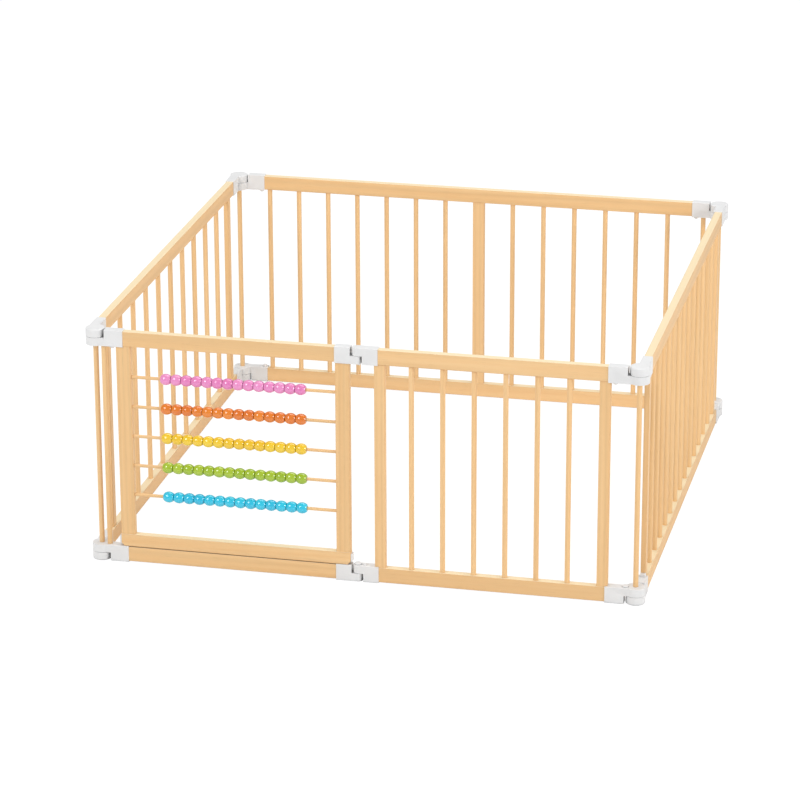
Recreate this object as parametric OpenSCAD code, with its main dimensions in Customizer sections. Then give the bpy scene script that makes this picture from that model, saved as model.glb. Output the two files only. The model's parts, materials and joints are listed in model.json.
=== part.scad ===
// Folding playpen: three long barred panels, one short barred panel and one short
// abacus panel, joined at the corners and at the front middle by plastic hinges.
// +X right, +Y back, +Z up. The origin is on the floor, under the middle of the pen.

/* [Overall] */
// Outer width of the pen, over the corner knuckles
pen_w = 1400; // [1250:1:1600]
// Outer depth of the pen, over the corner knuckles
pen_d = 1400; // [1250:1:1600]
// Height of the pen
pen_h = 610; // [560:1:700]
// Distance from the middle of the pen to the front middle hinge, to the left
middle_shift = 15; // [0:1:40]

/* [Rails] */
// Height of every long rail
rail_h = 38; // [34:1:44]
// Thickness of the rails
rail_t = 20; // [18:1:24]
// Height of the bottom rail of the abacus frame
frame_rail_h = 32; // [26:1:40]
// Chamfer at the lower corners of the abacus frame
frame_chamfer = 8; // [4:1:12]

/* [Hinges] */
// Diameter of the corner knuckles
knuckle_d = 48; // [44:1:54]
// Diameter of the knuckles at the front middle
middle_knuckle_d = 24; // [22:1:26]
// How far a corner hinge reaches along its rail, from the hinge axis
corner_reach = 74; // [70:1:80]
// How far a middle hinge reaches along its rail, from the hinge axis
middle_reach = 54; // [50:1:64]
// Wall of a hinge block in front of the rail end
end_wall = 8; // [6:0.5:9]
// Wall of the sleeve round a rail
sleeve_wall = 2; // [1.5:0.5:3]
// Distance from the hinge axis out to the middle plane of the rails
rail_out = 7; // [5:1:9]
// Slot between a corner knuckle and the body of the other half
corner_slot = 2.5; // [2:0.5:8]
// Slot between a middle knuckle and the body of the other half
middle_slot = 3; // [2:0.5:6]
// Gap between the two stacked knuckles
knuckle_gap = 0.5; // [0.3:0.1:1]
// Rounding of the free edge of the side knuckles
knuckle_round = 3; // [2:0.5:5]
// Diameter of the corner hinge pins
pin_d = 8; // [6:0.5:9]
// Diameter of the middle hinge pins
middle_pin_d = 6; // [5:0.5:7]
// Running clearance on the radius between a corner pin and its knuckle
pin_clear = 0.05; // [0.03:0.01:0.1]
// Clearance on the radius at the middle pins
middle_clear = 0.4; // [0.3:0.1:0.8]
// Diameter of the round heads of the middle pins
pin_head_d = 17; // [14:0.5:20]
// Height of the heads of the middle pins
pin_head_h = 4; // [2:0.5:6]
// Diameter of the small round bumps moulded on the middle hinges
bump_d = 11; // [9:0.5:12]
// Height of the bump under the top middle hinge
bump_h = 5; // [3:0.5:5.5]
// Height of the bump on the bottom middle hinge
low_bump_h = 3; // [1:0.5:5]
// Diameter of the lock button on the front right bottom hinge
button_d = 15; // [13:0.5:16]
// Height that the lock button stands out
button_out = 3.5; // [2.2:0.1:4]
// How far the lock button can be pressed
button_travel = 2; // [1:0.5:2]
// Height of the raised seat under the front stile of the right panel
seat_h = 8; // [5:1:10]

/* [Screws] */
// Diameter of the domed heads of the screws that hold the sleeves on the rails
screw_head_d = 15; // [15:0.5:16]
// Height of the domed heads
screw_head_h = 7; // [4:0.5:7.5]
// Diameter of the screw shanks
screw_d = 4; // [3.5:0.5:5]
// Length of the screw shanks
screw_len = 18; // [12:1:24]

/* [Bars and stiles] */
// Diameter of the round bars and corner posts
bar_d = 13; // [11:0.5:15]
// Depth that bars and tenons go into a rail
bar_depth = 12; // [8:1:16]
// Bars on the back panel to the left of its stile
back_bars_left = 7; // [5:1:8]
// Bars on the back panel to the right of its stile, without the one under the hinge
back_bars_right = 6; // [4:1:8]
// Bars between the end stiles of the left panel
left_bar_count = 9; // [7:1:13]
// Bars between the end stiles of the right panel
right_bar_count = 13; // [9:1:14]
// Bars between the stiles of the short barred panel
slatted_bar_count = 6; // [4:1:7]
// Width of the end stiles of the short barred panel
end_stile_w = 27; // [22:1:32]
// Width of the end stiles of the side panels
side_stile_w = 24; // [18:1:32]
// Thickness of the end stiles of the side panels
side_stile_t = 13; // [10:0.5:16]
// Width of the stile in the middle of the back panel
back_stile_w = 32; // [26:1:40]
// Width of the two abacus stiles
abacus_stile_w = 36; // [30:1:37]
// Thickness of the stiles of the back and front panels
stile_t = 16; // [13:1:17]

/* [Abacus] */
// Diameter of the rods
rod_d = 8; // [7:0.5:10]
// Depth that the rods go into the stiles
rod_depth = 12; // [8:1:16]
// Height between two rods
rod_pitch = 77.5; // [60:0.5:80]
// Distance from the top rail down to the first rod
rod_drop = 81; // [60:1:100]
// Diameter of the beads
bead_d = 28; // [24:0.5:30]
// Length of a bead along its rod
bead_len = 26; // [22:0.5:26]
// Radius of the bulging side of a bead, along its length
bead_bulge_r = 20; // [15:0.5:40]
// Beads on each rod
bead_count = 14; // [10:1:15]
// Gap between two beads
bead_gap = 0.2; // [0.1:0.1:0.5]
// Clearance on the radius between a bead and its rod
bead_clear = 0.5; // [0.3:0.1:1]

/* [Hidden] */
$fn = 48;

wood = [0.93, 0.76, 0.55];
plastic = [0.93, 0.93, 0.93];
steel = [0.72, 0.72, 0.74];
bead_colours = [
    [0.93, 0.50, 0.78], [0.94, 0.45, 0.12], [0.98, 0.78, 0.12],
    [0.52, 0.78, 0.18], [0.10, 0.66, 0.92]
];

// hinge axes
axis_x = pen_w / 2 - knuckle_d / 2;
axis_y = pen_d / 2 - knuckle_d / 2;
middle_x = -middle_shift;
side_len = 2 * axis_y;
back_len = 2 * axis_x;
slatted_len = axis_x - middle_x;
abacus_len = axis_x + middle_x;

// hinge blocks
block_h = rail_h + 2 * sleeve_wall;
block_t = rail_t + 2 * sleeve_wall;
top_z = pen_h - block_h;
half_h = (block_h - knuckle_gap) / 2;
corner_body = knuckle_d / 2 + corner_slot;
middle_body = middle_knuckle_d / 2 + middle_slot;
knuckle_roof = 4;
post_socket = 10;
edge_r = 1.5;
overlap = 1;
corner_pocket = corner_body + end_wall;
middle_pocket = middle_body + end_wall;

// rails
low_rail_z = sleeve_wall;
low_rail_top = low_rail_z + rail_h;
high_rail_z = pen_h - sleeve_wall - rail_h;

// from the end of a sleeve to the first and the last stile or bar of its panel
left_first_gap = 38;
left_last_gap = 33;
right_first_gap = 23;
right_last_gap = 7;
back_first_gap = 13;
back_last_gap = 68;
slatted_corner_gap = 7;
slatted_middle_gap = 3.5;

// how far a stile of the abacus panel stands back over its sleeve
abacus_corner_lap = 0.5;
abacus_middle_lap = 19;

// from the foot of a sleeve's block to the bar and the post in the corner gap
gap_bar_out = 17.5;
gap_post_in = 3.5;

// from the end of a sleeve back to its screw
back_screw_in = 10;
slatted_screw_in = 17;
abacus_screw_in = 30;

// places along the panels, from the first hinge axis of each
left_first = corner_reach + left_first_gap;
left_last = corner_reach + left_last_gap;
right_first = corner_reach + right_first_gap;
right_last = corner_reach + right_last_gap;
back_first = corner_reach + back_first_gap;
back_last = corner_reach + back_last_gap;
back_stile_shift = 8;
back_stile_clear = 95;
gap_bar = corner_body + gap_bar_out;
gap_post = corner_body - gap_post_in;
slatted_corner_stile = corner_reach + slatted_corner_gap;
slatted_middle_stile = middle_reach + slatted_middle_gap;
slatted_corner_clear = 87;
abacus_corner_stile = corner_reach - abacus_corner_lap;
abacus_middle_stile = middle_reach - abacus_middle_lap;
button_x = 24;
button_h = 8.5;
button_clear = 0.8;
low_bump_x = 17;
top_bump_x = 5.5;
seat_len = 14;

// screws, from the hinge axis of each block
back_screw = corner_reach - back_screw_in;
slatted_screw = corner_reach - slatted_screw_in;
abacus_screw = corner_reach - abacus_screw_in;

tenon_t = 8;
tenon_w = 14;
cap_t = 4;
cap_margin = 4;
cap_peg_d = 8;
cap_peg_clear = 2;
cap_peg_len = (abacus_stile_w - tenon_w) / 2 - cap_peg_clear;

// evenly spaced places, ends left out
function between(a, b, n) = [for (i = [1:n]) a + (b - a) * i / (n + 1)];

left_stile_x = [left_first, side_len - left_last];
left_bar_x = between(left_stile_x[0], left_stile_x[1], left_bar_count);
right_stile_x = [right_first, side_len - right_last];
right_bar_x = between(right_stile_x[0], right_stile_x[1], right_bar_count);

back_stile_x = back_len / 2 + back_stile_shift;
back_left_end = back_stile_x - back_stile_clear;
back_right_start = back_stile_x + back_stile_clear;
back_right_end = back_len - back_last;
back_bar_x = concat(
    [for (i = [0:back_bars_left - 1])
        back_first + (back_left_end - back_first) * i / (back_bars_left - 1)],
    [for (i = [0:back_bars_right - 1])
        back_right_start + (back_right_end - back_right_start) * i / (back_bars_right - 1)],
    [back_len - gap_bar]
);

slatted_stile_x = [slatted_corner_stile, slatted_len - slatted_middle_stile];
slatted_bar_x = [for (i = [0:slatted_bar_count - 1])
    slatted_stile_x[0] + slatted_corner_clear
    + (slatted_stile_x[1] - slatted_stile_x[0] - slatted_corner_clear) * i / slatted_bar_count];

abacus_stile_x = [abacus_middle_stile, abacus_len - abacus_corner_stile];
abacus_clear = abacus_stile_x[1] - abacus_stile_x[0] - abacus_stile_w;
abacus_mid_x = (abacus_stile_x[0] + abacus_stile_x[1]) / 2;
frame_rail_z = block_h;
frame_rail_top = frame_rail_z + frame_rail_h;
frame_ends = [abacus_stile_x[0] - abacus_stile_w / 2, abacus_stile_x[1] + abacus_stile_w / 2];
cap_h = frame_rail_h - frame_chamfer - cap_margin;
bead_pitch = bead_len + bead_gap;
bead_bore_d = rod_d + 2 * bead_clear;
rod_z = [for (i = [0:4]) high_rail_z - rod_drop - rod_pitch * i];

// ---- panel frames: +X along the panel, +Y out of the pen ----

module back_frame() translate([-axis_x, axis_y, 0]) children();
module left_frame() translate([-axis_x, -axis_y, 0]) rotate([0, 0, 90]) children();
module right_frame() translate([axis_x, axis_y, 0]) rotate([0, 0, -90]) children();
module slatted_frame() translate([axis_x, -axis_y, 0]) rotate([0, 0, 180]) children();
module abacus_frame() translate([middle_x, -axis_y, 0]) rotate([0, 0, 180]) children();

// turns a hinge half end for end, so that it serves the far end of a panel
module far_end(len) translate([len, 0, 0]) mirror([1, 0, 0]) children();

// ---- plain solids ----

module rounded_plan(x0, y0, x1, y1, r) {
    translate([x0 + r, y0]) square([x1 - x0 - 2 * r, y1 - y0]);
    translate([x0, y0 + r]) square([x1 - x0, y1 - y0 - 2 * r]);
    for (x = [x0 + r, x1 - r], y = [y0 + r, y1 - r]) translate([x, y]) circle(r);
}

// rail from x0 to x1, with its lowest face at z
module plain_rail(x0, x1, z)
    translate([x0, rail_out - rail_t / 2, z]) cube([x1 - x0, rail_t, rail_h]);

module bars(places)
    for (x = places)
        translate([x, rail_out, low_rail_top - bar_depth])
            cylinder(d = bar_d, h = high_rail_z - low_rail_top + 2 * bar_depth);

module tenons(places, z0 = low_rail_top)
    for (x = places)
        translate([x - tenon_w / 2, rail_out - tenon_t / 2, z0 - bar_depth])
            cube([tenon_w, tenon_t, high_rail_z - z0 + 2 * bar_depth]);

module stile_bodies(places, w, t, z0)
    for (x = places)
        translate([x - w / 2, rail_out - t / 2, z0])
            cube([w, t, high_rail_z - z0]);

// the outer boxes of a panel's sleeves, which the stiles step round
module sleeve_boxes(len, reach0, reach1) {
    for (z = [0, top_z]) {
        translate([0, rail_out - block_t / 2, z]) cube([reach0, block_t, block_h]);
        translate([len - reach1, rail_out - block_t / 2, z]) cube([reach1, block_t, block_h]);
    }
}

module stiles(places, w, len, reach0, reach1, z0 = low_rail_top, t = stile_t) {
    difference() {
        stile_bodies(places, w, t, z0);
        sleeve_boxes(len, reach0, reach1);
    }
    tenons(places, z0);
}

// ---- hinge halves: axis at the origin, rail towards +X, lowest face at z = 0 ----

module pocket(start, reach)
    translate([start, rail_out - rail_t / 2, sleeve_wall])
        cube([reach - start + overlap, rail_t, rail_h]);

module block_body(start, reach)
    linear_extrude(block_h)
        rounded_plan(start, rail_out - block_t / 2, reach, rail_out + block_t / 2, edge_r);

// knuckle that carries the pin and the foot of the corner post
module post_knuckle(upper) {
    z = upper ? block_h - half_h : 0;
    translate([0, 0, z]) {
        cylinder(d = knuckle_d, h = half_h);
        translate([0, rail_out - block_t / 2, 0]) cube([corner_body + edge_r, block_t, half_h]);
    }
}

// knuckle that turns on the pin, with a rounded free edge
module side_knuckle(upper) {
    z = upper ? block_h - half_h : 0;
    r = knuckle_d / 2;
    translate([0, 0, z]) {
        translate([0, 0, upper ? half_h : 0]) mirror([0, 0, upper ? 1 : 0])
            rotate_extrude() {
                square([r - knuckle_round, half_h]);
                translate([0, knuckle_round]) square([r, half_h - knuckle_round]);
                translate([r - knuckle_round, knuckle_round]) intersection() {
                    circle(knuckle_round);
                    translate([0, -knuckle_round]) square(knuckle_round);
                }
            }
        translate([0, rail_out - block_t / 2, 0]) cube([corner_body + edge_r, block_t, half_h]);
    }
}

module post_half(upper) {
    inner = upper ? block_h : 0;
    difference() {
        union() {
            block_body(corner_body, corner_reach);
            post_knuckle(upper);
        }
        pocket(corner_pocket, corner_reach);
        translate([0, 0, -overlap]) cylinder(d = pin_d, h = block_h + 2 * overlap);
        translate([0, 0, upper ? inner - post_socket : inner - overlap])
            cylinder(d = bar_d, h = post_socket + overlap);
    }
}

module side_half(upper) {
    z = upper ? block_h - half_h - overlap : knuckle_roof;
    difference() {
        union() {
            block_body(corner_body, corner_reach);
            side_knuckle(upper);
        }
        pocket(corner_pocket, corner_reach);
        translate([0, 0, z])
            cylinder(d = pin_d + 2 * pin_clear, h = half_h - knuckle_roof + overlap);
    }
}

// halves of the front middle hinge, bored from bore_z up to bore_top for the pin
module middle_half(upper, bore_d, bore_z, bore_top) {
    z = upper ? block_h - half_h : 0;
    difference() {
        union() {
            block_body(middle_body, middle_reach);
            translate([0, rail_out, z]) cylinder(d = middle_knuckle_d, h = half_h);
            translate([0, rail_out - block_t / 2, z])
                cube([middle_body + edge_r, block_t, half_h]);
        }
        pocket(middle_pocket, middle_reach);
        translate([0, rail_out, bore_z]) cylinder(d = bore_d, h = bore_top - bore_z);
    }
}
// the knuckle that carries the pin, open at the top or with a closed roof
module pin_half(open)
    middle_half(true, middle_pin_d, -overlap, open ? block_h + overlap : block_h - knuckle_roof);
// the knuckle that turns on the pin
module turning_half()
    middle_half(false, middle_pin_d + 2 * middle_clear, knuckle_roof, half_h + overlap);

// dome of width d and height h, standing on z = 0
module dome(d, h) {
    r = (pow(d / 2, 2) + pow(h, 2)) / (2 * h);
    rotate_extrude() intersection() {
        square([d / 2, h]);
        translate([0, h - r]) circle(r, $fn = 96);
    }
}

// screw with a domed head, head down at z = 0
module sleeve_screw() {
    mirror([0, 0, 1]) dome(screw_head_d, screw_head_h);
    cylinder(d = screw_d, h = screw_len);
}

// screws under a top sleeve and on a bottom sleeve, at x from the hinge axis
module top_screw(x) translate([x, rail_out, top_z]) sleeve_screw();
module low_screw(x) translate([x, rail_out, block_h]) mirror([0, 0, 1]) sleeve_screw();

// ---- joinery: what the rails and sleeves of each panel make room for ----

module back_joinery() {
    bars(back_bar_x);
    tenons([back_stile_x]);
    back_screws();
}
module side_joinery(bar_x, stile_x) {
    bars(bar_x);
    tenons(stile_x);
}
module slatted_joinery() {
    bars(slatted_bar_x);
    tenons(slatted_stile_x);
    top_screw(slatted_screw);
}
module abacus_joinery() {
    tenons(abacus_stile_x, frame_rail_top);
    far_end(abacus_len) top_screw(abacus_screw);
    front_gap_post();
}

module back_screws() {
    top_screw(back_screw);
    low_screw(back_screw);
    far_end(back_len) {
        top_screw(back_screw);
        low_screw(back_screw);
    }
}

// ---- posts and pins, about a hinge axis ----

module corner_post()
    translate([0, 0, block_h - post_socket])
        cylinder(d = bar_d, h = top_z - block_h + 2 * post_socket);

module front_gap_post()
    translate([abacus_len - gap_post, rail_out, block_h - post_socket])
        cylinder(d = bar_d, h = top_z - block_h + 2 * post_socket);

module corner_pins() {
    h = block_h - post_socket - knuckle_roof - knuckle_gap;
    translate([0, 0, top_z + post_socket]) cylinder(d = pin_d, h = h);
    translate([0, 0, knuckle_roof + knuckle_gap]) cylinder(d = pin_d, h = h);
}

module middle_pin(top)
    translate([0, 0, knuckle_roof + knuckle_gap])
        cylinder(d = middle_pin_d, h = top - knuckle_roof - knuckle_gap);

// ---- back panel ----

module back_top_rail() color(wood) back_frame() difference() {
    plain_rail(corner_pocket, back_len - corner_pocket, high_rail_z);
    back_joinery();
}
module back_bottom_rail() color(wood) back_frame() difference() {
    plain_rail(corner_pocket, back_len - corner_pocket, low_rail_z);
    back_joinery();
}
module back_centre_stile() color(wood) back_frame()
    stiles([back_stile_x], back_stile_w, back_len, corner_reach, corner_reach);
module back_bars() color(wood) back_frame() bars(back_bar_x);
module back_left_top_hinge() color(plastic) back_frame() difference() {
    translate([0, 0, top_z]) post_half(false);
    back_joinery();
}
module back_left_bottom_hinge() color(plastic) back_frame() difference() {
    post_half(true);
    back_joinery();
}
module back_right_top_hinge() color(plastic) back_frame() difference() {
    far_end(back_len) translate([0, 0, top_z]) post_half(false);
    back_joinery();
}
module back_right_bottom_hinge() color(plastic) back_frame() difference() {
    far_end(back_len) post_half(true);
    back_joinery();
}
module back_sleeve_screws() color(plastic) back_frame() back_screws();
module back_left_post() color(wood) back_frame() corner_post();
module back_right_post() color(wood) back_frame() far_end(back_len) corner_post();
module back_hinge_pins() color(steel) back_frame() {
    corner_pins();
    far_end(back_len) corner_pins();
}

// ---- side panels, alike but for the spacing of their bars ----

module side_rail(z, bar_x, stile_x) color(wood) difference() {
    plain_rail(corner_pocket, side_len - corner_pocket, z);
    side_joinery(bar_x, stile_x);
}
module side_hinge(top, far, bar_x, stile_x) color(plastic) difference() {
    if (far) far_end(side_len) translate([0, 0, top ? top_z : 0]) side_half(top);
    else translate([0, 0, top ? top_z : 0]) side_half(top);
    side_joinery(bar_x, stile_x);
}

module left_rail(z) left_frame() side_rail(z, left_bar_x, left_stile_x);
module left_hinge(top, far) left_frame() side_hinge(top, far, left_bar_x, left_stile_x);
module left_top_rail() left_rail(high_rail_z);
module left_bottom_rail() left_rail(low_rail_z);
module left_end_stiles() color(wood) left_frame()
    stiles(left_stile_x, side_stile_w, side_len, corner_reach, corner_reach, t = side_stile_t);
module left_bars() color(wood) left_frame() bars(left_bar_x);
module left_front_top_hinge() left_hinge(true, false);
module left_front_bottom_hinge() left_hinge(false, false);
module left_rear_top_hinge() left_hinge(true, true);
module left_rear_bottom_hinge() left_hinge(false, true);

module right_rail(z) right_frame() side_rail(z, right_bar_x, right_stile_x);
module right_hinge(top, far) right_frame() side_hinge(top, far, right_bar_x, right_stile_x);
module right_top_rail() right_rail(high_rail_z);
module right_bottom_rail() right_rail(low_rail_z);
module right_end_stiles() color(wood) right_frame() difference() {
    stiles(right_stile_x, side_stile_w, side_len, corner_reach, corner_reach, t = side_stile_t);
    stile_seat();
}
module right_bars() color(wood) right_frame() bars(right_bar_x);
module right_front_top_hinge() right_hinge(true, true);
module right_front_bottom_hinge() {
    right_hinge(false, true);
    color(plastic) right_frame() difference() {
        stile_seat();
        tenons(right_stile_x);
    }
}
module right_rear_top_hinge() right_hinge(true, false);
module right_rear_bottom_hinge() right_hinge(false, false);

// raised seat on the sleeve, under the front stile of the right panel
module stile_seat()
    translate([side_len - corner_reach, rail_out - side_stile_t / 2, block_h])
        cube([seat_len, side_stile_t, seat_h]);

// ---- short barred panel, from the front right corner to the middle ----

module slatted_rail(z) color(wood) difference() {
    plain_rail(corner_pocket, slatted_len - middle_pocket, z);
    slatted_joinery();
}
module slatted_top_rail() slatted_frame() slatted_rail(high_rail_z);
module slatted_bottom_rail() slatted_frame() slatted_rail(low_rail_z);
module slatted_end_stiles() color(wood) slatted_frame()
    stiles(slatted_stile_x, end_stile_w, slatted_len, corner_reach, middle_reach);
module slatted_bars() color(wood) slatted_frame() bars(slatted_bar_x);
module slatted_corner_top_hinge() color(plastic) slatted_frame() difference() {
    translate([0, 0, top_z]) post_half(false);
    slatted_joinery();
}
module slatted_corner_bottom_hinge() color(plastic) slatted_frame() difference() {
    post_half(true);
    translate([button_x, rail_out, block_h + button_out - button_travel - button_h - button_clear])
        cylinder(d = button_d + 2 * button_clear, h = button_h + button_travel);
    slatted_joinery();
}
module lock_button() color(plastic) slatted_frame()
    translate([button_x, rail_out, block_h + button_out - button_h])
        cylinder(d = button_d, h = button_h);
module slatted_middle_top_hinge() color(plastic) slatted_frame() difference() {
    far_end(slatted_len) translate([0, 0, top_z]) pin_half(false);
    slatted_joinery();
}
module slatted_middle_bottom_hinge() color(plastic) slatted_frame() difference() {
    far_end(slatted_len) {
        pin_half(true);
        translate([low_bump_x, rail_out, block_h]) cylinder(d = bump_d, h = low_bump_h);
    }
    slatted_joinery();
}
module slatted_sleeve_screw() color(plastic) slatted_frame() top_screw(slatted_screw);
module front_right_post() color(wood) slatted_frame() corner_post();
module slatted_hinge_pins() color(steel) slatted_frame() corner_pins();
module middle_hinge_pins() color(plastic) slatted_frame() translate([slatted_len, rail_out, 0]) {
    translate([0, 0, top_z]) middle_pin(block_h - knuckle_roof);
    middle_pin(block_h);
    translate([0, 0, block_h]) cylinder(d = pin_head_d, h = pin_head_h);
}

// ---- abacus panel, from the front middle to the front left corner ----

module abacus_rail(z) color(wood) difference() {
    plain_rail(middle_pocket, abacus_len - corner_pocket, z);
    abacus_joinery();
}
module abacus_top_rail() abacus_frame() abacus_rail(high_rail_z);
module abacus_base_rail() abacus_frame() abacus_rail(low_rail_z);

// bottom rail of the abacus frame, which stands on the two bottom hinges
module abacus_frame_rail() color(wood) abacus_frame() difference() {
    translate([0, rail_out + rail_t / 2, 0]) rotate([90, 0, 0]) linear_extrude(rail_t)
        polygon([
            [frame_ends[0] + frame_chamfer, frame_rail_z],
            [frame_ends[1] - frame_chamfer, frame_rail_z],
            [frame_ends[1], frame_rail_z + frame_chamfer],
            [frame_ends[1], frame_rail_top],
            [frame_ends[0], frame_rail_top],
            [frame_ends[0], frame_rail_z + frame_chamfer]
        ]);
    abacus_joinery();
    cap_pegs();
}
module abacus_side_stiles() color(wood) abacus_frame() difference() {
    stiles(abacus_stile_x, abacus_stile_w, abacus_len, middle_reach, corner_reach,
        frame_rail_top);
    rods();
}

module rods()
    for (z = rod_z)
        translate([abacus_mid_x - abacus_clear / 2 - rod_depth, rail_out, z]) rotate([0, 90, 0])
            cylinder(d = rod_d, h = abacus_clear + 2 * rod_depth);
module abacus_rods() color(wood) abacus_frame() rods();

module cap_pegs()
    for (x = [frame_ends[0], frame_ends[1] - cap_peg_len])
        translate([x, rail_out, frame_rail_z + frame_chamfer + cap_h / 2])
            rotate([0, 90, 0]) cylinder(d = cap_peg_d, h = cap_peg_len);
module abacus_rail_caps() color(plastic) abacus_frame() {
    cap_pegs();
    for (side = [0, 1])
        translate([side == 0 ? frame_ends[0] - cap_t : frame_ends[1],
                   rail_out - stile_t / 2, frame_rail_z + frame_chamfer])
            cube([cap_t, stile_t, cap_h]);
}

module abacus_corner_top_hinge() color(plastic) abacus_frame() difference() {
    far_end(abacus_len) translate([0, 0, top_z]) post_half(false);
    abacus_joinery();
}
module abacus_corner_bottom_hinge() color(plastic) abacus_frame() difference() {
    far_end(abacus_len) post_half(true);
    abacus_joinery();
}
module abacus_middle_top_hinge() color(plastic) abacus_frame() difference() {
    translate([0, 0, top_z]) {
        turning_half();
        translate([-top_bump_x, rail_out, 0]) mirror([0, 0, 1]) dome(bump_d, bump_h);
    }
    abacus_joinery();
}
module abacus_middle_bottom_hinge() color(plastic) abacus_frame() difference() {
    turning_half();
    abacus_joinery();
}
module abacus_sleeve_screw() color(plastic) abacus_frame()
    far_end(abacus_len) top_screw(abacus_screw);
module front_left_posts() color(wood) abacus_frame() {
    far_end(abacus_len) corner_post();
    front_gap_post();
}
module abacus_hinge_pins() color(steel) abacus_frame() far_end(abacus_len) corner_pins();

// one row of beads, centred on its rod
module bead_row(row) color(bead_colours[row]) abacus_frame()
    for (i = [0:bead_count - 1])
        translate([abacus_mid_x + (i - (bead_count - 1) / 2) * bead_pitch, rail_out, rod_z[row]])
            rotate([0, 90, 0]) rotate_extrude() intersection() {
                translate([bead_d / 2 - bead_bulge_r, 0]) circle(bead_bulge_r);
                translate([bead_bore_d / 2, -bead_len / 2]) square([bead_d, bead_len]);
            }
module beads_pink() bead_row(0);
module beads_orange() bead_row(1);
module beads_yellow() bead_row(2);
module beads_green() bead_row(3);
module beads_blue() bead_row(4);

back_top_rail();
back_bottom_rail();
back_centre_stile();
back_bars();
back_left_top_hinge();
back_left_bottom_hinge();
back_right_top_hinge();
back_right_bottom_hinge();
back_sleeve_screws();
left_top_rail();
left_bottom_rail();
left_end_stiles();
left_bars();
left_front_top_hinge();
left_front_bottom_hinge();
left_rear_top_hinge();
left_rear_bottom_hinge();
right_top_rail();
right_bottom_rail();
right_end_stiles();
right_bars();
right_front_top_hinge();
right_front_bottom_hinge();
right_rear_top_hinge();
right_rear_bottom_hinge();
slatted_top_rail();
slatted_bottom_rail();
slatted_end_stiles();
slatted_bars();
slatted_corner_top_hinge();
slatted_corner_bottom_hinge();
slatted_middle_top_hinge();
slatted_middle_bottom_hinge();
slatted_sleeve_screw();
lock_button();
abacus_top_rail();
abacus_frame_rail();
abacus_base_rail();
abacus_side_stiles();
abacus_rods();
abacus_rail_caps();
abacus_corner_top_hinge();
abacus_corner_bottom_hinge();
abacus_middle_top_hinge();
abacus_middle_bottom_hinge();
abacus_sleeve_screw();
beads_pink();
beads_orange();
beads_yellow();
beads_green();
beads_blue();
back_left_post();
back_right_post();
front_left_posts();
front_right_post();
back_hinge_pins();
abacus_hinge_pins();
slatted_hinge_pins();
middle_hinge_pins();
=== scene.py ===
import json
import math
import random

import bmesh
import bpy
from mathutils import Matrix, Vector


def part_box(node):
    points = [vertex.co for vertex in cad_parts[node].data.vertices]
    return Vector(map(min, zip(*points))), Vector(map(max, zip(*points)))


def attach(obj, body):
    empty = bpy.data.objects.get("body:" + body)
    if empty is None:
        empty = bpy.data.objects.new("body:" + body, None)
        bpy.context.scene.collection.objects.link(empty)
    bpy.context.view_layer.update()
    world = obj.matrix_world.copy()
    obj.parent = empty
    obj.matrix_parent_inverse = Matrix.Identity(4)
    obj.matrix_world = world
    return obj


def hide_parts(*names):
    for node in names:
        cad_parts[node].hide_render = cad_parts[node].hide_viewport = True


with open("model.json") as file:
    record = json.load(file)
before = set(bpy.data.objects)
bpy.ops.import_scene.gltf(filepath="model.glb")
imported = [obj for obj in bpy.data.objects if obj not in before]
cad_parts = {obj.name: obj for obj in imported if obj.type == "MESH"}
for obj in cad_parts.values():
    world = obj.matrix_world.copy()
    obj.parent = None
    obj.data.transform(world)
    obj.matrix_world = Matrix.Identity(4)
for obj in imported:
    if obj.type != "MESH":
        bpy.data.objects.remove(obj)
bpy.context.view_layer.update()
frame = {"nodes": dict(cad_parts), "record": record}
seeded = random.Random(14)
mm = 0.001
weld = 0.02 * mm  # how near two corners of one solid are the same corner
flatWithin = 1.0  # degrees between two faces that count as one
print("frame loaded:", len(frame["nodes"]), "nodes")


# small tools for the node trees
def newMaterial(name):
    material = bpy.data.materials.new(name)
    material.use_nodes = True
    nodes = material.node_tree.nodes
    return material, nodes, material.node_tree.links, nodes["Principled BSDF"]


def place(nodes, links, kind, inputs=None, **settings):
    made = nodes.new(kind)
    for key, value in settings.items():
        setattr(made, key, value)
    for key, value in (inputs or {}).items():
        if isinstance(value, bpy.types.NodeSocket):
            links.new(value, made.inputs[key])
        else:
            made.inputs[key].default_value = value
    return made


def rampOf(nodes, links, fac, stops):
    ramp = place(nodes, links, "ShaderNodeValToRGB", {"Fac": fac})
    elements = ramp.color_ramp.elements
    while len(elements) < len(stops):
        elements.new(0.5)
    for element, (where, colour) in zip(elements, stops):
        element.position = where
        element.color = (*colour, 1) if len(colour) == 3 else colour
    return ramp.outputs["Color"]


def grey(value):
    return (value, value, value)


def mixColour(nodes, links, fac, first, second, blend="MIX"):
    mix = place(nodes, links, "ShaderNodeMix", data_type="RGBA", blend_type=blend)
    for socket, value in ((mix.inputs[0], fac), (mix.inputs[6], first), (mix.inputs[7], second)):
        if isinstance(value, bpy.types.NodeSocket):
            links.new(value, socket)
        else:
            socket.default_value = (*value, 1) if isinstance(value, tuple) else value
    return mix.outputs[2]


def attribute(nodes, links, name, out):
    return place(nodes, links, "ShaderNodeAttribute", attribute_name=name).outputs[out]


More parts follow.
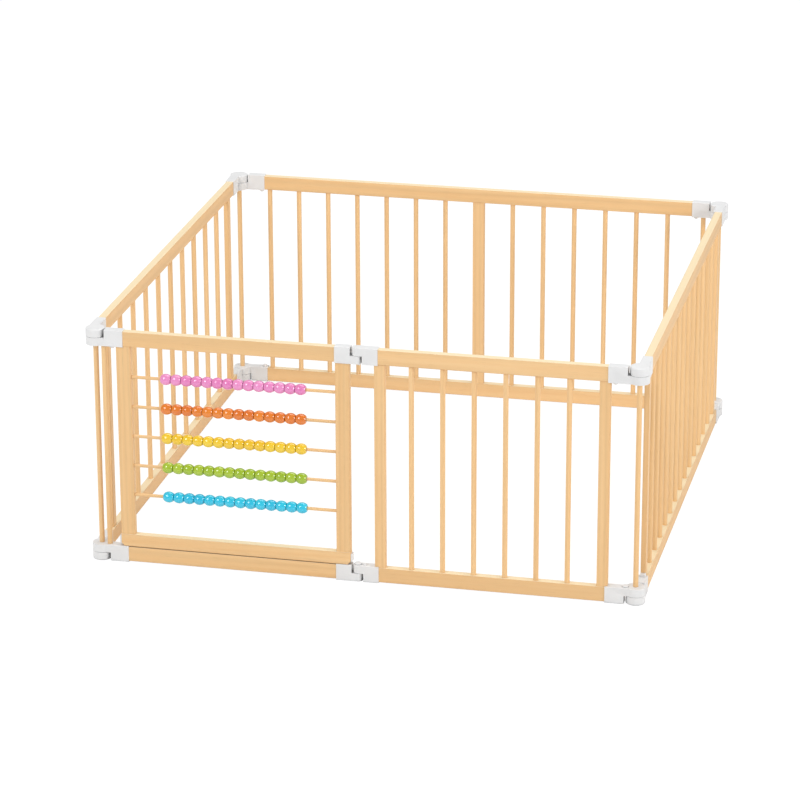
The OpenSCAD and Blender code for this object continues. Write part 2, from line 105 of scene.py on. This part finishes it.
# finishes
pine = {
    "pale": (0.86, 0.575, 0.29),
    "middle": (0.835, 0.54, 0.26),
    "dark": (0.80, 0.495, 0.225),
    "arris": (0.68, 0.38, 0.155),
    # painted sheen: the paler colour given to faces that look up
    "rubbed": (0.91, 0.80, 0.55),
    "rubbedShare": 0.72,
    "rubbedFrom": 0.5,  # how far up a face has to look before it gets the painted sheen
    "rubbedOver": 0.4,
    "joint": (0.60, 0.46, 0.33),  # colour of the painted shade in corners and where two pieces meet
    "jointReach": 5 * mm,
    "grainAlong": 2.2,  # noise scale along the grain, per metre
    "grainAcross": 70.0,
    "grainSpread": 9,  # each stick is cut from its own place in the log
    "grainTurn": 0.5,  # and turned by up to this, in radians
    "ringScale": (1.1, 26.0, 26.0),
    "ringDepth": 0.7,
    "poreScale": (28.0, 900.0, 900.0),
    "poreDepth": 0.8,
    "arrisShare": 0.4,
    "roughness": (0.46, 0.58),
    "varnish": 0.1,
    "varnishRoughness": 0.35,
    "bump": 0.12,
    "poreHeight": 0.6 * mm,
    "streakHeight": 0.8 * mm,
}


def makePine():
    material, nodes, links, shader = newMaterial("pineVarnished")
    spot = attribute(nodes, links, "grainPlace", "Vector")
    tone = attribute(nodes, links, "tone", "Fac")
    arris = attribute(nodes, links, "arris", "Fac")
    rubbed = attribute(nodes, links, "rubbed", "Fac")
    stretch = place(nodes, links, "ShaderNodeMapping", {
        "Vector": spot, "Scale": (pine["grainAlong"], pine["grainAcross"], pine["grainAcross"])})
    streaks = place(nodes, links, "ShaderNodeTexNoise", {
        "Vector": stretch.outputs[0], "Scale": 1.0, "Detail": 5.0, "Roughness": 0.6,
        "Distortion": 0.4})
    rings = place(nodes, links, "ShaderNodeMapping", {
        "Vector": spot, "Scale": pine["ringScale"]})
    ringWave = place(nodes, links, "ShaderNodeTexWave", {
        "Vector": rings.outputs[0], "Scale": 1.0, "Distortion": 3.2, "Detail": 2.0,
        "Detail Scale": 0.6}, wave_type="BANDS", bands_direction="Y")
    colour = rampOf(nodes, links, streaks.outputs["Fac"], [
        (0.25, pine["dark"]), (0.5, pine["middle"]), (0.75, pine["pale"])])
    ringColour = rampOf(nodes, links, ringWave.outputs["Fac"], [
        (0.0, grey(0.93)), (0.5, grey(1.0)), (1.0, grey(1.02))])
    colour = mixColour(nodes, links, pine["ringDepth"], colour, ringColour, "MULTIPLY")
    # short dark pores that run with the grain
    fine = place(nodes, links, "ShaderNodeMapping", {
        "Vector": spot, "Scale": pine["poreScale"]})
    pores = place(nodes, links, "ShaderNodeTexNoise", {
        "Vector": fine.outputs[0], "Scale": 1.0, "Detail": 2.0})
    poreColour = rampOf(nodes, links, pores.outputs["Fac"], [(0.27, grey(0.84)), (0.37, grey(1.0))])
    colour = mixColour(nodes, links, pine["poreDepth"], colour, poreColour, "MULTIPLY")
    # each stick has its own shade
    shade = rampOf(nodes, links, tone, [(0.0, (0.97, 0.955, 0.93)), (1.0, (1.03, 1.035, 1.05))])
    colour = mixColour(nodes, links, 1.0, colour, shade, "MULTIPLY")
    # the eased arrises are painted a little darker
    edgeFac = place(nodes, links, "ShaderNodeMath", {0: arris, 1: pine["arrisShare"]},
                    operation="MULTIPLY")
    colour = mixColour(nodes, links, edgeFac.outputs[0], colour, pine["arris"])
    # painted sheen: faces that look up are painted paler, standing in for the light and sheen on top
    # faces
    topFac = place(nodes, links, "ShaderNodeMath", {0: rubbed, 1: pine["rubbedShare"]},
                   operation="MULTIPLY")
    colour = mixColour(nodes, links, topFac.outputs[0], colour, pine["rubbed"])
    # painted shade: the wood is darkened where other parts are near, in corners and where two pieces
    # meet
    joint = place(nodes, links, "ShaderNodeAmbientOcclusion", {"Distance": pine["jointReach"]},
                  samples=8)
    paintedJointShadeColour = rampOf(nodes, links, joint.outputs["AO"], [
        (0.2, pine["joint"]), (0.62, grey(1.0))])
    colour = mixColour(nodes, links, 1.0, colour, paintedJointShadeColour, "MULTIPLY")
    links.new(colour, shader.inputs["Base Color"])
    low, high = pine["roughness"]
    rough = place(nodes, links, "ShaderNodeMapRange", {
        "Value": streaks.outputs["Fac"], "To Min": low, "To Max": high})
    links.new(rough.outputs[0], shader.inputs["Roughness"])
    bump = place(nodes, links, "ShaderNodeBump", {
        "Strength": pine["bump"], "Distance": pine["poreHeight"], "Height": pores.outputs["Fac"]})
    bumpTwo = place(nodes, links, "ShaderNodeBump", {
        "Strength": pine["bump"] * 1.5, "Distance": pine["streakHeight"],
        "Height": streaks.outputs["Fac"], "Normal": bump.outputs[0]})
    links.new(bumpTwo.outputs[0], shader.inputs["Normal"])
    shader.inputs["Coat Weight"].default_value = pine["varnish"]
    shader.inputs["Coat Roughness"].default_value = pine["varnishRoughness"]
    shader.inputs["IOR"].default_value = 1.48
    return material


plastic = {
    "colour": (0.785, 0.785, 0.785),
    "shadow": (0.75, 0.752, 0.755),
    "arris": (0.8, 0.8, 0.8),
    "roughness": (0.3, 0.42),
    "bump": 0.1,
    "bumpHeight": 0.3 * mm,
    "cloudScale": 24.0,
    "speckScale": 1500.0,
    "scatter": 0.06,
    "scatterReach": (4 * mm, 4 * mm, 4 * mm),
    "seamReach": 12 * mm,  # how far from a seam the plastic still looks darker
    "seamShade": 0.2,
    "cornerShade": 0.9,
}


def makePlastic():
    material, nodes, links, shader = newMaterial("whiteMouldedPlastic")
    where = place(nodes, links, "ShaderNodeTexCoord").outputs["Object"]
    arris = attribute(nodes, links, "arris", "Fac")
    cloud = place(nodes, links, "ShaderNodeTexNoise", {
        "Vector": where, "Scale": plastic["cloudScale"], "Detail": 3.0, "Roughness": 0.5})
    speck = place(nodes, links, "ShaderNodeTexNoise", {
        "Vector": where, "Scale": plastic["speckScale"], "Detail": 2.0})
    colour = rampOf(nodes, links, cloud.outputs["Fac"], [
        (0.3, plastic["shadow"]), (0.6, plastic["colour"])])
    colour = mixColour(nodes, links, arris, colour, plastic["arris"])
    # slots and seams look darker, because little light gets in
    seam = place(nodes, links, "ShaderNodeAmbientOcclusion", {"Distance": plastic["seamReach"]},
                 samples=8)
    seamColour = rampOf(nodes, links, seam.outputs["AO"], [
        (0.05, grey(plastic["seamShade"])), (0.5, grey(plastic["cornerShade"])), (0.7, grey(1.0))])
    colour = mixColour(nodes, links, 1.0, colour, seamColour, "MULTIPLY")
    links.new(colour, shader.inputs["Base Color"])
    low, high = plastic["roughness"]
    rough = place(nodes, links, "ShaderNodeMapRange", {
        "Value": cloud.outputs["Fac"], "To Min": low, "To Max": high})
    links.new(rough.outputs[0], shader.inputs["Roughness"])
    bump = place(nodes, links, "ShaderNodeBump", {
        "Strength": plastic["bump"], "Distance": plastic["bumpHeight"], "Height": speck.outputs["Fac"]})
    links.new(bump.outputs[0], shader.inputs["Normal"])
    shader.inputs["IOR"].default_value = 1.5
    shader.inputs["Subsurface Weight"].default_value = plastic["scatter"]
    shader.inputs["Subsurface Radius"].default_value = plastic["scatterReach"]
    return material


wire = {
    "dark": (0.5, 0.5, 0.52),
    "light": (0.66, 0.66, 0.68),
    "drawnScale": (900.0, 900.0, 20.0),
    "roughness": (0.25, 0.45),
}


def makeSteel():
    material, nodes, links, shader = newMaterial("drawnSteel")
    where = place(nodes, links, "ShaderNodeTexCoord").outputs["Object"]
    lengthwise = place(nodes, links, "ShaderNodeMapping", {
        "Vector": where, "Scale": wire["drawnScale"]})
    drawn = place(nodes, links, "ShaderNodeTexNoise", {
        "Vector": lengthwise.outputs[0], "Scale": 1.0, "Detail": 3.0})
    colour = rampOf(nodes, links, drawn.outputs["Fac"], [
        (0.3, wire["dark"]), (0.7, wire["light"])])
    links.new(colour, shader.inputs["Base Color"])
    low, high = wire["roughness"]
    rough = place(nodes, links, "ShaderNodeMapRange", {
        "Value": drawn.outputs["Fac"], "To Min": low, "To Max": high})
    links.new(rough.outputs[0], shader.inputs["Roughness"])
    shader.inputs["Metallic"].default_value = 1.0
    return material


bead = {
    "sides": 40,
    "rings": 22,  # round the bulge, from end to end
    "bulgeRadius": 18 * mm,
    "endRound": 1.0 * mm,
    "endSteps": [(0.4, 0.5), (0.1, 1.0), (0.0, 1.7)],  # in and down, against endRound
    "bore": 1.12,  # hole against rod
    "lip": 0.5 * mm,  # rounding where the hole breaks out
    "lipTurn": 0.3,
    "smoothTo": 60,
    "meetReach": 14 * mm,  # how far from the next bead the painted shade reaches
    "meetShade": 0.25,
    "coat": 0.6,
    "coatRoughness": 0.1,
    "coatBend": 2.0,
    "roughness": (0.16, 0.26),
    "bump": 0.05,
    "bumpHeight": 0.3 * mm,
    "cloudScale": 60.0,
    "dimpleScale": 700.0,
    "underCoat": 0.2,
}
beadPaints = {
    "pink": ((0.86, 0.31, 0.61), (0.78, 0.20, 0.50)),
    "orange": ((0.85, 0.25, 0.01), (0.73, 0.165, 0.004)),
    "yellow": ((0.91, 0.65, 0.025), (0.86, 0.54, 0.01)),
    "green": ((0.405, 0.57, 0.025), (0.31, 0.48, 0.01)),
    "blue": ((0.015, 0.59, 0.82), (0.004, 0.47, 0.74)),
}


def makeBeadPaint(name):
    bright, deep = beadPaints[name]
    material, nodes, links, shader = newMaterial("beadPaint_" + name)
    where = place(nodes, links, "ShaderNodeTexCoord").outputs["Object"]
    tone = attribute(nodes, links, "tone", "Fac")
    cloud = place(nodes, links, "ShaderNodeTexNoise", {
        "Vector": where, "Scale": bead["cloudScale"], "Detail": 2.0})
    blend = place(nodes, links, "ShaderNodeMath", {0: tone, 1: cloud.outputs["Fac"]},
                  operation="ADD")
    half = place(nodes, links, "ShaderNodeMath", {0: blend.outputs[0], 1: 0.5},
                 operation="MULTIPLY")
    colour = rampOf(nodes, links, half.outputs[0], [(0.2, bright), (0.8, deep)])
    # painted shade: the beads are darkened where two beads meet
    meeting = place(nodes, links, "ShaderNodeAmbientOcclusion", {"Distance": bead["meetReach"]},
                    samples=8)
    meetColour = rampOf(nodes, links, meeting.outputs["AO"], [
        (0.15, grey(bead["meetShade"])), (0.85, grey(1.0))])
    colour = mixColour(nodes, links, 1.0, colour, meetColour, "MULTIPLY")
    links.new(colour, shader.inputs["Base Color"])
    dimples = place(nodes, links, "ShaderNodeTexNoise", {
        "Vector": where, "Scale": bead["dimpleScale"], "Detail": 1.0})
    bump = place(nodes, links, "ShaderNodeBump", {
        "Strength": bead["bump"], "Distance": bead["bumpHeight"],
        "Height": dimples.outputs["Fac"]})
    links.new(bump.outputs[0], shader.inputs["Normal"])
    low, high = bead["roughness"]
    rough = place(nodes, links, "ShaderNodeMapRange", {
        "Value": cloud.outputs["Fac"], "To Min": low, "To Max": high})
    links.new(rough.outputs[0], shader.inputs["Roughness"])
    shader.inputs["Specular IOR Level"].default_value = bead["underCoat"]
    shader.inputs["Coat Weight"].default_value = bead["coat"]
    shader.inputs["Coat Roughness"].default_value = bead["coatRoughness"]
    shader.inputs["Coat IOR"].default_value = bead["coatBend"]
    return material


pineWood = makePine()
whitePlastic = makePlastic()
steel = makeSteel()
beadPaint = {name: makeBeadPaint(name) for name in beadPaints}
print("finishes ready")


# shaping
def mergedMesh(node):
    work = bmesh.new()
    work.from_mesh(frame["nodes"][node].data)
    bmesh.ops.remove_doubles(work, verts=work.verts, dist=weld)
    bmesh.ops.dissolve_limit(work, angle_limit=math.radians(flatWithin), use_dissolve_boundaries=False,
                             verts=work.verts, edges=work.edges)
    return work


def islandsOf(work):
    work.verts.ensure_lookup_table()
    seen = set()
    islands = []
    for start in work.verts:
        if start.index in seen:
            continue
        stack = [start]
        island = []
        seen.add(start.index)
        while stack:
            vert = stack.pop()
            island.append(vert)
            for edge in vert.link_edges:
                other = edge.other_vert(vert)
                if other.index not in seen:
                    seen.add(other.index)
                    stack.append(other)
        islands.append(island)
    return islands


def cornersOf(points):
    low = Vector([min(p[i] for p in points) for i in range(3)])
    high = Vector([max(p[i] for p in points) for i in range(3)])
    return low, high


grace = 0.25 * mm  # how near counts as touching
knownSolids = {}


def solidsOf(node):
    if node not in knownSolids:
        work = bmesh.new()
        work.from_mesh(frame["nodes"][node].data)
        bmesh.ops.remove_doubles(work, verts=work.verts, dist=weld)
        boxes = [cornersOf([v.co for v in island]) for island in islandsOf(work)]
        work.free()
        knownSolids[node] = sorted(boxes, key=lambda box: tuple(round(c, 4) for c in box[0]))
    return knownSolids[node]


def touchingBoxes(node, skip=()):
    low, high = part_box(node)
    found = []
    for other in frame["nodes"]:
        if other == node or other.endswith(tuple(skip)):
            continue
        for boxLow, boxHigh in solidsOf(other):
            if all(boxLow[i] < high[i] + grace and boxHigh[i] > low[i] - grace for i in range(3)):
                found.append((boxLow, boxHigh))
    return found


def insideAny(edge, boxes):
    for low, high in boxes:
        if all(low[i] - grace <= vert.co[i] <= high[i] + grace
               for vert in edge.verts for i in range(3)):
            return True
    return False


def markGrain(work, along):
    spotLayer = work.verts.layers.float_vector.new("grainPlace")
    toneLayer = work.verts.layers.float.new("tone")
    spread, twist = pine["grainSpread"], pine["grainTurn"]
    for island in islandsOf(work):
        start = Vector([seeded.uniform(-spread, spread) for i in range(3)])
        turn = seeded.uniform(-twist, twist)
        tone = seeded.random()
        for vert in island:
            x, y, z = vert.co
            ordered = {"x": (x, y, z), "y": (y, x, z), "z": (z, x, y)}[along]
            a, b, c = ordered
            b, c = b * math.cos(turn) - c * math.sin(turn), b * math.sin(turn) + c * math.cos(turn)
            vert[spotLayer] = start + Vector((a, b, c))
            vert[toneLayer] = tone


def easeEdges(work, radius, segments=2, sharpFrom=38.0, boxes=()):
    arrisLayer = work.faces.layers.float.new("arris")
    edges = []
    for edge in work.edges:
        if len(edge.link_faces) != 2 or not edge.is_convex:
            continue
        if edge.calc_face_angle(0) < math.radians(sharpFrom):
            continue
        if insideAny(edge, boxes):
            continue
        edges.append(edge)
    made = bmesh.ops.bevel(work, geom=edges, offset=radius, offset_type="OFFSET",
                           segments=segments, profile=0.5, affect="EDGES", clamp_overlap=False,
                           harden_normals=False)
    for face in made["faces"]:
        face[arrisLayer] = 1.0


# painted sheen: marks how far each face looks up, so that top faces are painted paler
def markPaintedTopSheen(work):
    paintedTopSheenLayer = work.faces.layers.float.new("rubbed")
    for face in work.faces:
        face.normal_update()
        face[paintedTopSheenLayer] = min(1.0, max(0.0, (face.normal.z - pine["rubbedFrom"]) / pine["rubbedOver"]))


# keeps flat faces flat beside an eased edge
def parkEasedEdges(mesh):
    if "arris" not in mesh.attributes:
        return
    eased = mesh.attributes["arris"].data
    kinds = {}
    for polygon in mesh.polygons:
        isEased = eased[polygon.index].value > 0.5
        for loop in polygon.loop_indices:
            kinds.setdefault(mesh.loops[loop].edge_index, set()).add(isEased)
    for edge, found in kinds.items():
        if len(found) == 2:
            mesh.edges[edge].use_edge_sharp = True


def settle(work, name, body, material, nodes=(), smoothTo=34.0):
    mesh = bpy.data.meshes.new(name)
    work.to_mesh(mesh)
    work.free()
    piece = bpy.data.objects.new(name, mesh)
    bpy.context.scene.collection.objects.link(piece)
    mesh.materials.append(material)
    mesh.shade_smooth()
    mesh.set_sharp_from_angle(angle=math.radians(smoothTo))
    parkEasedEdges(mesh)
    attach(piece, body)
    if nodes:
        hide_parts(*nodes)
    return piece


# flat faces get no shade from the eased edges and holes beside them
def keepFlat(piece, steepest):
    eased = piece.data.attributes["arris"].data
    for polygon in piece.data.polygons:
        if eased[polygon.index].value < 0.5 and abs(polygon.normal.z) >= steepest:
            polygon.use_smooth = False
    return piece


bodyOfNode = {}
for bodyName, members in frame["record"]["behaviour"]["bodies"].items():
    for member in members:
        bodyOfNode[member] = bodyName


def camelName(node):
    head, *rest = node.split("_")
    return head + "".join(word.capitalize() for word in rest)


# rails and stiles: planed wood with eased arrises
planed = {
    "railArris": 1.5 * mm,
    "stileArris": 1.4 * mm,
    "flatFrom": 0.0,  # every plain face of a stick is flat, whichever way it looks
    "longRails": ["back_top_rail", "back_bottom_rail", "slatted_top_rail", "slatted_bottom_rail",
                  "abacus_top_rail", "abacus_base_rail", "abacus_frame_rail"],
    "sideRails": ["left_top_rail", "left_bottom_rail", "right_top_rail", "right_bottom_rail"],
    "stiles": ["back_centre_stile", "left_end_stiles", "right_end_stiles", "slatted_end_stiles",
               "abacus_side_stiles"],
}


def planedPiece(node, along, radius):
    work = mergedMesh(node)
    easeEdges(work, radius, segments=3, boxes=touchingBoxes(node))
    markPaintedTopSheen(work)
    markGrain(work, along)
    piece = settle(work, camelName(node), bodyOfNode[node], pineWood, [node])
    return keepFlat(piece, planed["flatFrom"])


for node in planed["longRails"]:
    planedPiece(node, "x", planed["railArris"])
for node in planed["sideRails"]:
    planedPiece(node, "y", planed["railArris"])
for node in planed["stiles"]:
    planedPiece(node, "z", planed["stileArris"])
print("rails and stiles ready")


# bars, posts and rods: turned wood
def ring(work, centre, axis, radius, count):
    across = Vector((0, 0, 1)) if axis.z < 0.5 else Vector((1, 0, 0))
    other = axis.cross(across)
    verts = []
    for i in range(count):
        angle = 2 * math.pi * i / count
        outward = across * math.cos(angle) + other * math.sin(angle)
        verts.append(work.verts.new(centre + outward * radius))
    return verts


def turned(work, origin, axis, profile, count):
    rings = [ring(work, origin + axis * along, axis, radius, count) for along, radius in profile]
    for first, second in zip(rings, rings[1:]):
        for i in range(count):
            j = (i + 1) % count
            work.faces.new((first[i], first[j], second[j], second[i]))
    work.faces.new(list(reversed(rings[0])))
    work.faces.new(rings[-1])


turnedParts = {
    "sides": 32,
    "endEase": 0.8 * mm,
    "between": (0.33, 0.67),  # rings along a stick, against its length
    "upright": ["back_bars", "left_bars", "right_bars", "slatted_bars", "back_left_post",
                "back_right_post", "front_left_posts", "front_right_post"],
    "level": ["abacus_rods"],
}


def turnedPiece(node, along):
    axis = Vector((0, 0, 1)) if along == "z" else Vector((1, 0, 0))
    index = 2 if along == "z" else 0
    ease = turnedParts["endEase"]
    work = bmesh.new()
    for low, high in solidsOf(node):
        length = high[index] - low[index]
        radius = (high[1] - low[1]) / 2
        start = (low + high) / 2
        start[index] = low[index]
        straight = [(length * share, radius) for share in turnedParts["between"]]
        turned(work, start, axis, [(0, radius - ease), (ease, radius), *straight,
                                   (length - ease, radius), (length, radius - ease)],
               turnedParts["sides"])
    bmesh.ops.recalc_face_normals(work, faces=work.faces)
    markGrain(work, along)
    return settle(work, camelName(node), bodyOfNode[node], pineWood, [node])


for node in turnedParts["upright"]:
    turnedPiece(node, "z")
for node in turnedParts["level"]:
    turnedPiece(node, "x")
print("bars, posts and rods ready")


# beads
def beadPiece(colourName):
    node = "beads_" + colourName
    rodRadius = (solidsOf("abacus_rods")[0][1][2] - solidsOf("abacus_rods")[0][0][2]) / 2
    work = bmesh.new()
    for low, high in solidsOf(node):
        centre = (low + high) / 2
        radius = (high[2] - low[2]) / 2
        half = (high[0] - low[0]) / 2
        beadRound(work, centre, radius, half, rodRadius * bead["bore"])
    bmesh.ops.recalc_face_normals(work, faces=work.faces)
    markGrain(work, "x")
    return settle(work, "beads" + colourName.capitalize(), bodyOfNode[node],
                  beadPaint[colourName], [node], smoothTo=bead["smoothTo"])


def beadRound(work, centre, radius, half, hole):
    axis = Vector((1, 0, 0))
    lip = bead["lip"]
    soft = bead["endRound"]
    bulge = bead["bulgeRadius"]
    widest = math.asin((half - soft) / bulge)
    profile = []
    for i in range(bead["rings"] + 1):
        angle = widest * (2 * i / bead["rings"] - 1)
        profile.append((bulge * math.sin(angle), radius - bulge + bulge * math.cos(angle)))
    edge = profile[-1][1]
    rounded = [(half - soft * back, edge - soft * down) for back, down in bead["endSteps"]]
    profile = [(-along, r) for along, r in reversed(rounded)] + profile + rounded
    eased = lip * bead["lipTurn"]
    inner = [(half, hole + lip), (half - eased, hole + eased), (half - lip, hole),
             (lip - half, hole), (eased - half, hole + eased), (-half, hole + lip)]
    loop = profile + inner
    rings = [ring(work, centre + axis * along, axis, r, bead["sides"]) for along, r in loop]
    for a in range(len(rings)):
        b = (a + 1) % len(rings)
        for i in range(bead["sides"]):
            j = (i + 1) % bead["sides"]
            work.faces.new((rings[a][i], rings[a][j], rings[b][j], rings[b][i]))


for colourName in beadPaints:
    beadPiece(colourName)
print("beads ready")


# moulded hinges, screws, caps and button
moulded = {
    "arris": 0.9 * mm,
    "rounds": 3,
    "screwRounds": 2,
    "flatFrom": 0.99,  # only the level faces are sure to be flat
    "hinges": [node for node in frame["nodes"] if node.endswith("_hinge")],
    "trim": ["abacus_rail_caps", "lock_button", "middle_hinge_pins"],
    "screws": ["back_sleeve_screws", "slatted_sleeve_screw", "abacus_sleeve_screw"],
    "trimArris": 0.7 * mm,
    "screwArris": 0.4 * mm,
}


def mouldedPiece(node, radius, rounds):
    work = mergedMesh(node)
    easeEdges(work, radius, segments=rounds, boxes=touchingBoxes(node, skip=["_hinge"]))
    piece = settle(work, camelName(node), bodyOfNode[node], whitePlastic, [node])
    return keepFlat(piece, moulded["flatFrom"])


for node in moulded["hinges"]:
    mouldedPiece(node, moulded["arris"], moulded["rounds"])
for node in moulded["trim"]:
    mouldedPiece(node, moulded["trimArris"], moulded["rounds"])
for node in moulded["screws"]:
    mouldedPiece(node, moulded["screwArris"], moulded["screwRounds"])
for node in ("back_hinge_pins", "abacus_hinge_pins", "slatted_hinge_pins"):
    for slotHolder in frame["nodes"][node].material_slots:
        slotHolder.material = steel
print("plastic parts ready")


# floor, light and camera
studio = {
    "floorSize": 30.0,
    "floorColour": (0.9, 0.9, 0.9, 1),
    "floorRoughness": 0.9,
    "floorShine": 0.1,
    "floorGlow": 0.84,  # how much of the floor's white is its own
    "glowStrength": 1.1,
    "worldLight": 0.46,
    "lamps": [
        # name, place, aim, size, watts
        ("keyLamp", (-3.6, -5.0, 4.4), (-0.2, -0.5, 0.3), 3.2, 185),
        ("topLamp", (0.2, 0.9, 4.8), (0, 0, 0.3), 4.0, 100),
        ("fillLamp", (5.2, -2.2, 2.6), (0, 0, 0.3), 2.6, 125),
    ],
}


def makeFloor():
    mesh = bpy.data.meshes.new("floor")
    half = studio["floorSize"] / 2
    mesh.from_pydata([(-half, -half, 0), (half, -half, 0), (half, half, 0), (-half, half, 0)],
                     [], [(0, 1, 2, 3)])
    floor = bpy.data.objects.new("floor", mesh)
    bpy.context.scene.collection.objects.link(floor)
    material, nodes, links, shader = newMaterial("floorWhite")
    shader.inputs["Base Color"].default_value = studio["floorColour"]
    shader.inputs["Roughness"].default_value = studio["floorRoughness"]
    shader.inputs["Specular IOR Level"].default_value = studio["floorShine"]
    glow = place(nodes, links, "ShaderNodeEmission", {
        "Color": (1, 1, 1, 1), "Strength": studio["glowStrength"]})
    rays = place(nodes, links, "ShaderNodeLightPath")
    seen = place(nodes, links, "ShaderNodeMath", {
        0: rays.outputs["Is Camera Ray"], 1: studio["floorGlow"]}, operation="MULTIPLY")
    mix = place(nodes, links, "ShaderNodeMixShader", {
        0: seen.outputs[0], 1: shader.outputs[0], 2: glow.outputs[0]})
    links.new(mix.outputs[0], nodes["Material Output"].inputs["Surface"])
    mesh.materials.append(material)


def makeWorld():
    world = bpy.data.worlds.new("studio")
    bpy.context.scene.world = world
    world.use_nodes = True
    nodes, links = world.node_tree.nodes, world.node_tree.links
    shade = nodes["Background"]
    shade.inputs["Color"].default_value = (1, 1, 1, 1)
    shade.inputs["Strength"].default_value = studio["worldLight"]
    white = place(nodes, links, "ShaderNodeBackground", {"Color": (1, 1, 1, 1), "Strength": 1.0})
    rays = place(nodes, links, "ShaderNodeLightPath")
    mix = place(nodes, links, "ShaderNodeMixShader", {
        0: rays.outputs["Is Camera Ray"], 1: shade.outputs[0], 2: white.outputs[0]})
    links.new(mix.outputs[0], nodes["World Output"].inputs["Surface"])


def makeLamp(name, where, aim, size, watts):
    data = bpy.data.lights.new(name, "AREA")
    data.shape = "DISK"
    data.size = size
    data.energy = watts
    lamp = bpy.data.objects.new(name, data)
    bpy.context.scene.collection.objects.link(lamp)
    lamp.location = where
    lamp.rotation_mode = "QUATERNION"
    lamp.rotation_quaternion = (Vector(aim) - Vector(where)).to_track_quat("-Z", "Y")


makeFloor()
makeWorld()
for lampFacts in studio["lamps"]:
    makeLamp(*lampFacts)

shot = {
    "place": (1.904, -8.674, 3.472),
    "yaw": -0.223,  # turned from the Y axis, in radians
    "pitch": 0.35,  # tipped down, in radians
    "roll": -0.003,
    "lens": 162.225,  # focal length in millimetres, for a film 36 mm wide
    "sensor": 36.0,
    "shift": (0.0, 0.0),
    "farthest": 60,
}


def makeCamera():
    data = bpy.data.cameras.new("camera")
    data.sensor_width = shot["sensor"]
    data.lens = shot["lens"]
    data.shift_x, data.shift_y = shot["shift"]
    camera = bpy.data.objects.new("camera", data)
    bpy.context.scene.collection.objects.link(camera)
    camera.location = shot["place"]
    camera.rotation_mode = "QUATERNION"
    yaw, pitch = shot["yaw"], shot["pitch"]
    forward = Vector((math.sin(yaw) * math.cos(pitch), math.cos(yaw) * math.cos(pitch),
                      -math.sin(pitch)))
    camera.rotation_quaternion = (forward.to_track_quat("-Z", "Y")
                                  @ Matrix.Rotation(shot["roll"], 3, "Z").to_quaternion())
    data.clip_end = shot["farthest"]
    bpy.context.scene.camera = camera


makeCamera()
bpy.context.scene.view_settings.view_transform = "Standard"
print("floor, light and camera ready")
